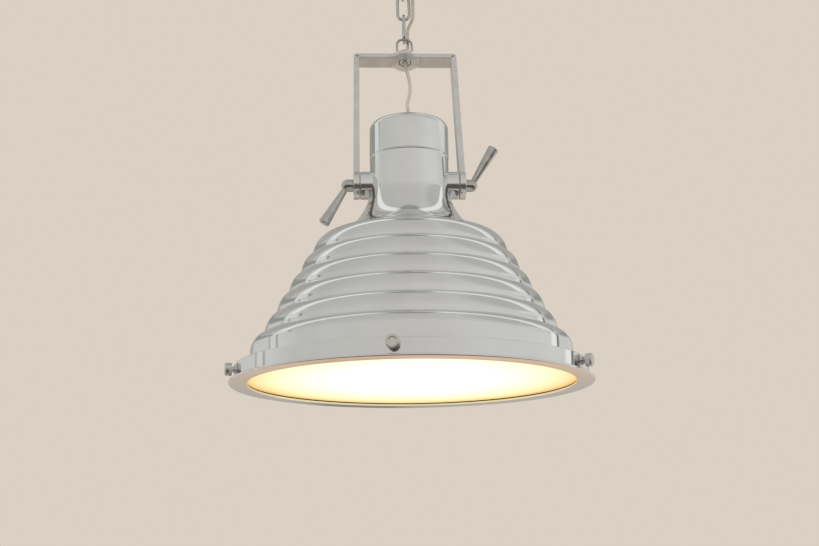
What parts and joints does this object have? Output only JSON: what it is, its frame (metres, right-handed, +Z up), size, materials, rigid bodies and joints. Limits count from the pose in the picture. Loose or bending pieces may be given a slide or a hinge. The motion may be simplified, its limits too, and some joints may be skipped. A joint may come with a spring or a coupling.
{
  "type": "industrial pendant lamp",
  "caption": "Chromed pendant lamp with a ribbed spun shade and a clamped glass lens, tilting in a long yoke with clamp levers and hung by a chain with its cord.",
  "frame": {"origin": "centre of the canopy's mounting face, on the ceiling plane", "axes": "+Z up out of the canopy's face into the ceiling, +X along the yoke's pivot to the right seen from the front, -Y towards the viewer"},
  "size_m": [0.4626, 0.4501, 0.7471],
  "materials": {
    "chromed_aluminium": "polished",
    "chromed_steel": "polished",
    "zinc_steel": "satin",
    "brass": "satin",
    "frosted_lens": "matte",
    "bulb_glass": "matte",
    "porcelain": "gloss",
    "black_rubber": "matte",
    "cord_sheath": "satin",
    "ivory_plastic": "satin"
  },
  "bodies": {
    "canopy": {"ceiling_canopy": "chromed_steel", "canopy_eye": "chromed_steel", "eye_nut": "zinc_steel", "canopy_grommet": "black_rubber", "terminal_block": "ivory_plastic", "cord_top": "cord_sheath"},
    "upper_link": {"chain_link_upper": "chromed_steel", "cord_mid": "cord_sheath"},
    "lower_link": {"chain_link_lower": "chromed_steel", "cord_low": "cord_sheath"},
    "yoke": {"yoke": "chromed_steel", "hanging_loop": "chromed_steel", "pivot_bush_left": "brass", "pivot_bush_right": "brass", "cord_drop": "cord_sheath"},
    "head": {"neck": "chromed_aluminium", "top_cap": "chromed_aluminium", "cap_grommet": "black_rubber", "supply_lead": "cord_sheath", "pivot_washer_left": "zinc_steel", "pivot_washer_right": "zinc_steel", "holder_bridge": "zinc_steel", "holder_screws": "zinc_steel", "lamp_holder": "porcelain", "holder_shell": "brass", "centre_contact": "brass", "ribbed_shade": "chromed_aluminium", "shade_screws": "zinc_steel"},
    "bulb": {"bulb_glass": "bulb_glass", "bulb_cap": "brass"},
    "lens_ring": {"lens_ring": "chromed_aluminium", "lens": "frosted_lens", "lens_gasket": "black_rubber", "rim_gasket": "black_rubber"},
    "lever_left": {"clamp_lever_left": "chromed_steel", "clamp_stud_left": "zinc_steel"},
    "lever_right": {"clamp_lever_right": "chromed_steel", "clamp_stud_right": "zinc_steel"},
    "thumb_screw_1": {"thumb_screw_1": "chromed_steel"},
    "thumb_screw_2": {"thumb_screw_2": "chromed_steel"},
    "thumb_screw_3": {"thumb_screw_3": "chromed_steel"},
    "thumb_screw_4": {"thumb_screw_4": "chromed_steel"},
    "thumb_screw_5": {"thumb_screw_5": "chromed_steel"}
  },
  "joints": [
    {"name": "chain_side_swing", "type": "hinge", "parent": "canopy", "child": "upper_link", "pos_m": [0, 0, -0.063], "axis": [0, 1, 0], "range_deg": [-15, 15], "deforming": ["cord_top"]},
    {"name": "chain_fore_swing", "type": "hinge", "parent": "upper_link", "child": "lower_link", "pos_m": [0, 0, -0.10485], "axis": [1, 0, 0], "range_deg": [-15, 15], "deforming": ["cord_mid"]},
    {"name": "yoke_swing", "type": "hinge", "parent": "lower_link", "child": "yoke", "pos_m": [0, 0, -0.1467], "axis": [0, 1, 0], "range_deg": [-15, 15], "deforming": ["cord_low"]},
    {"name": "head_tilt", "type": "hinge", "parent": "yoke", "child": "head", "pos_m": [0, -0.03988, -0.42813], "axis": [1, 0, 0], "range_deg": [-114.5, 65.5], "deforming": ["cord_drop"]},
    {"name": "bulb_turn", "type": "hinge", "parent": "head", "child": "bulb", "pos_m": [0, -0.03418, -0.4473], "axis": [0, -0.2849, 0.9586], "continuous": true},
    {"name": "lens_ring_drop", "type": "slide", "parent": "head", "child": "lens_ring", "axis": [0, 0.2849, -0.9586], "range_m": [0, 0.06]},
    {"name": "lever_left_turn", "type": "hinge", "parent": "head", "child": "lever_left", "pos_m": [-0.08, -0.03988, -0.42813], "axis": [1, 0, 0], "continuous": true},
    {"name": "lever_right_turn", "type": "hinge", "parent": "head", "child": "lever_right", "pos_m": [0.08, -0.03988, -0.42813], "axis": [1, 0, 0], "continuous": true},
    {"name": "thumb_screw_1_turn", "type": "hinge", "parent": "lens_ring", "child": "thumb_screw_1", "pos_m": [-0.02843, -0.17312, -0.7279], "axis": [-0.1323, -0.9502, -0.2823], "continuous": true},
    {"name": "thumb_screw_2_turn", "type": "hinge", "parent": "lens_ring", "child": "thumb_screw_2", "pos_m": [0.19389, -0.05789, -0.69366], "axis": [0.9018, -0.4142, -0.1231], "continuous": true},
    {"name": "thumb_screw_3_turn", "type": "hinge", "parent": "lens_ring", "child": "thumb_screw_3", "pos_m": [0.14827, 0.18041, -0.62285], "axis": [0.6896, 0.6942, 0.2063], "continuous": true},
    {"name": "thumb_screw_4_turn", "type": "hinge", "parent": "lens_ring", "child": "thumb_screw_4", "pos_m": [-0.10226, 0.21245, -0.61332], "axis": [-0.4756, 0.8432, 0.2506], "continuous": true},
    {"name": "thumb_screw_5_turn", "type": "hinge", "parent": "lens_ring", "child": "thumb_screw_5", "pos_m": [-0.21147, -0.00604, -0.67825], "axis": [-0.9836, -0.173, -0.0514], "continuous": true}
  ]
}
